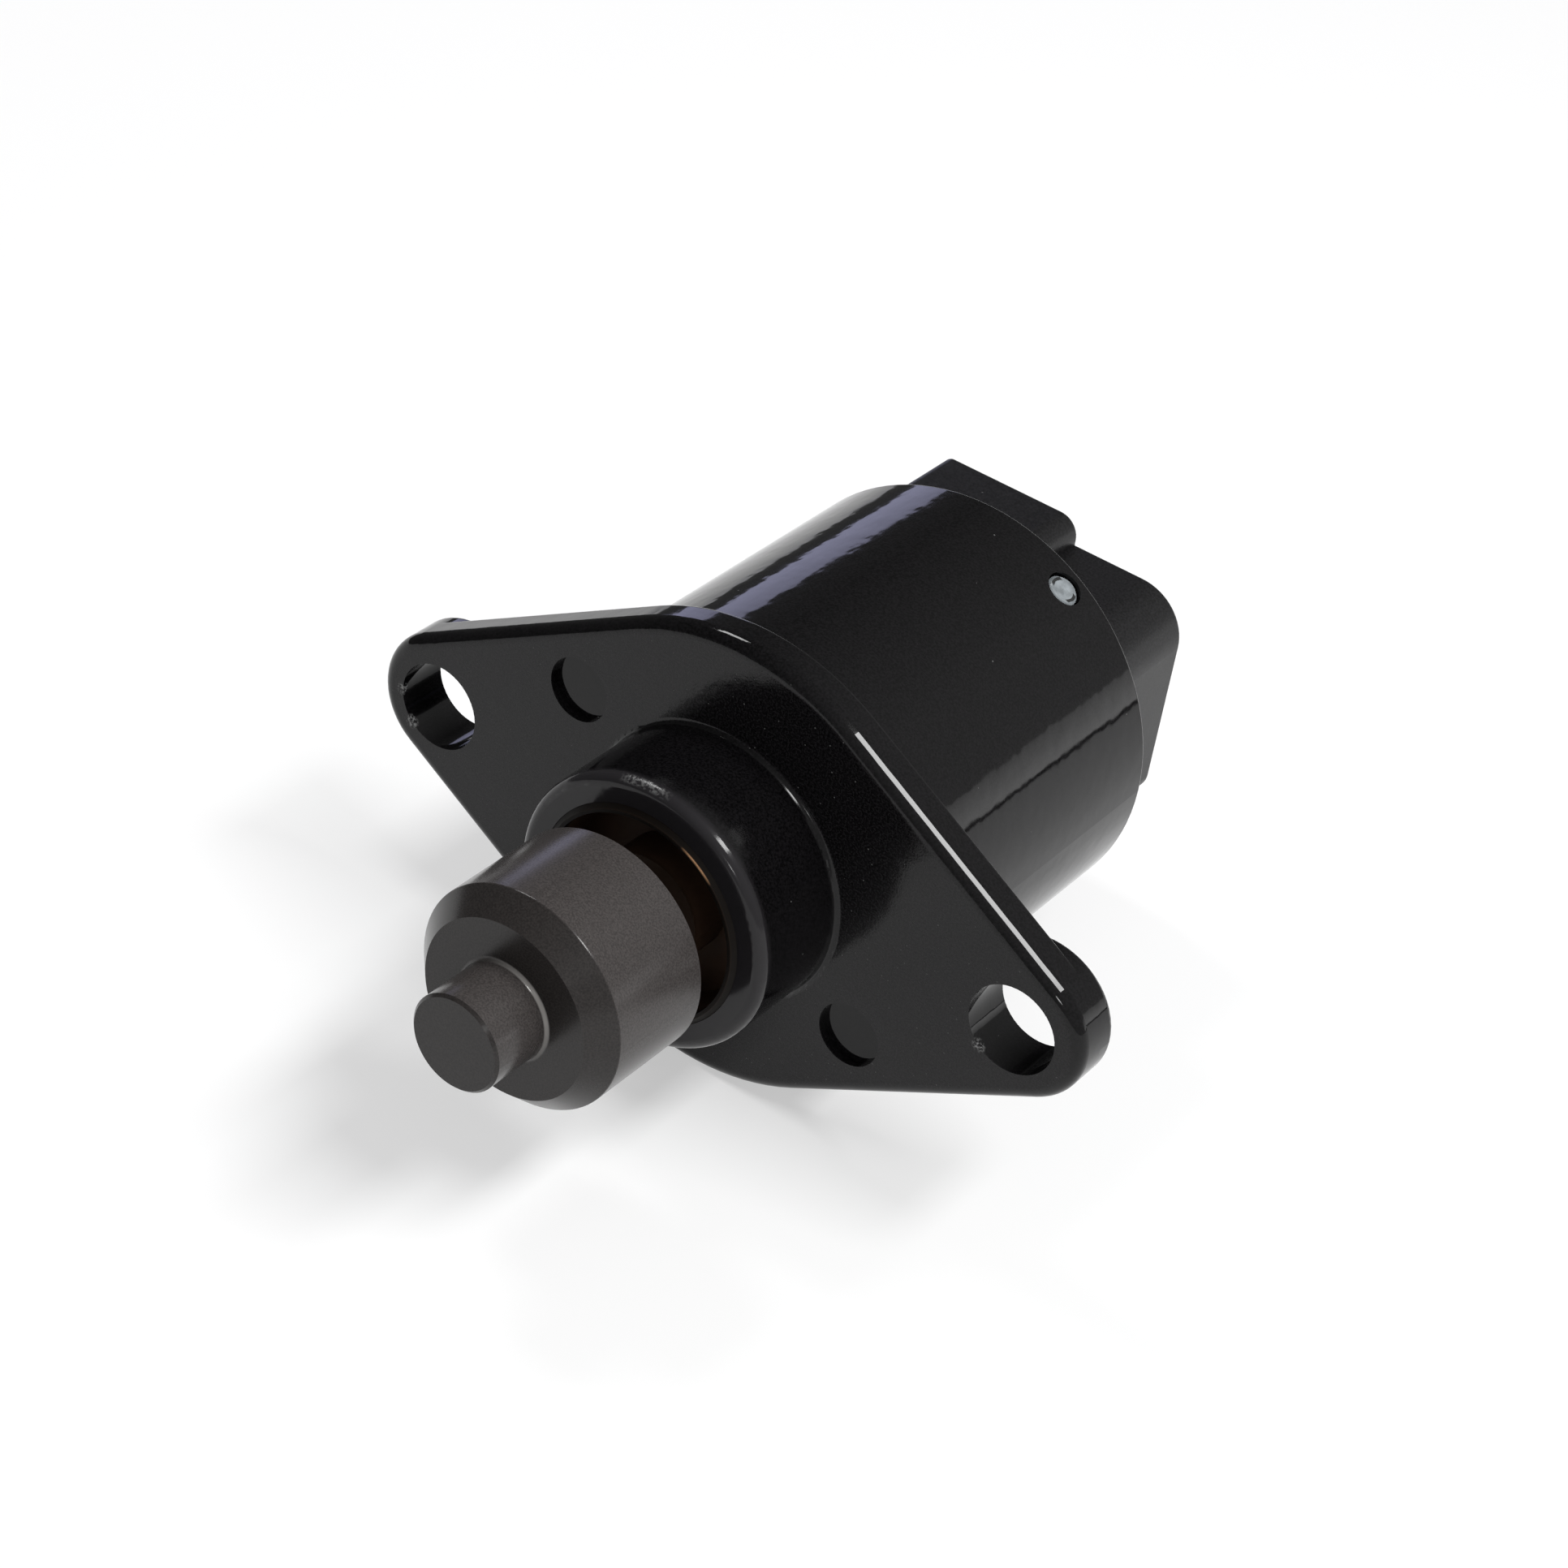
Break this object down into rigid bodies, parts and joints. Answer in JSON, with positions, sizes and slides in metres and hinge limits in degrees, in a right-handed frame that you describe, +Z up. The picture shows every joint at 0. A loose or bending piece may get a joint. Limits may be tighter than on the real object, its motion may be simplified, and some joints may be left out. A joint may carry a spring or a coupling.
{
  "type": "idle air control valve",
  "caption": "Stepper-driven idle air control valve with a diamond flange, a round motor can, a sliding stepped pintle in front and a harness socket behind.",
  "frame": {"origin": "on the valve's axis, in the mounting face of the flange", "axes": "-Y along the axis towards the pintle's tip, +Y towards the harness socket, X along the line of the bolt holes, +Z up to the latch rib"},
  "size_m": [0.0584, 0.0663, 0.0346],
  "materials": {
    "housing_plastic": "glossy black moulded plastic",
    "cap_plastic": "black moulded plastic",
    "terminal_metal": "tinned brass strip",
    "plug_plastic": "pale grey plastic",
    "seal_rubber": "black rubber",
    "bush_plastic": "dark brown plastic",
    "pintle_metal": "dark hard-anodised aluminium, satin",
    "screw_steel": "turned steel",
    "bearing_steel": "ground steel",
    "ball_steel": "polished steel",
    "cage_plastic": "natural plastic",
    "magnet_ferrite": "dark grey ferrite",
    "nut_brass": "turned brass",
    "bush_bronze": "sintered bronze",
    "stator_steel": "zinc plated sheet",
    "bobbin_plastic": "natural plastic",
    "winding_copper": "enamelled copper wire"
  },
  "bodies": {
    "valve_body": {"housing": "housing_plastic", "connector_cap": "cap_plastic", "terminals": "terminal_metal", "sealing_plug": "plug_plastic", "cap_seal": "seal_rubber", "guide_bush": "bush_plastic", "bearing_outer_ring": "bearing_steel", "rear_bush": "bush_bronze", "front_stator_cup": "stator_steel", "front_pole_plate": "stator_steel", "rear_pole_plate": "stator_steel", "rear_stator_cup": "stator_steel", "front_bobbin": "bobbin_plastic", "rear_bobbin": "bobbin_plastic", "front_winding": "winding_copper", "rear_winding": "winding_copper"},
    "rotor": {"rotor_magnet": "magnet_ferrite", "rotor_nut": "nut_brass", "bearing_inner_ring": "bearing_steel"},
    "ball_train": {"bearing_balls": "ball_steel", "bearing_cage": "cage_plastic"},
    "pintle": {"pintle_head": "pintle_metal", "lead_screw": "screw_steel"}
  },
  "joints": [
    {"name": "rotor_spin", "type": "hinge", "parent": "valve_body", "child": "rotor", "pos_m": [0, 0, 0], "axis": [0, 1, 0], "range_deg": [-1080, 1800]},
    {"name": "cage_spin", "type": "hinge", "parent": "valve_body", "child": "ball_train", "pos_m": [0, 0, 0], "axis": [0, 1, 0], "range_deg": [-432, 720]},
    {"name": "pintle_slide", "type": "slide", "parent": "valve_body", "child": "pintle", "axis": [0, -1, 0], "range_m": [-0.003, 0.005]}
  ],
  "couplings": [
    {"joint": "rotor_spin", "follows": "pintle_slide", "rad_per_m": 6283.2},
    {"joint": "cage_spin", "follows": "pintle_slide", "rad_per_m": 2513.3}
  ]
}
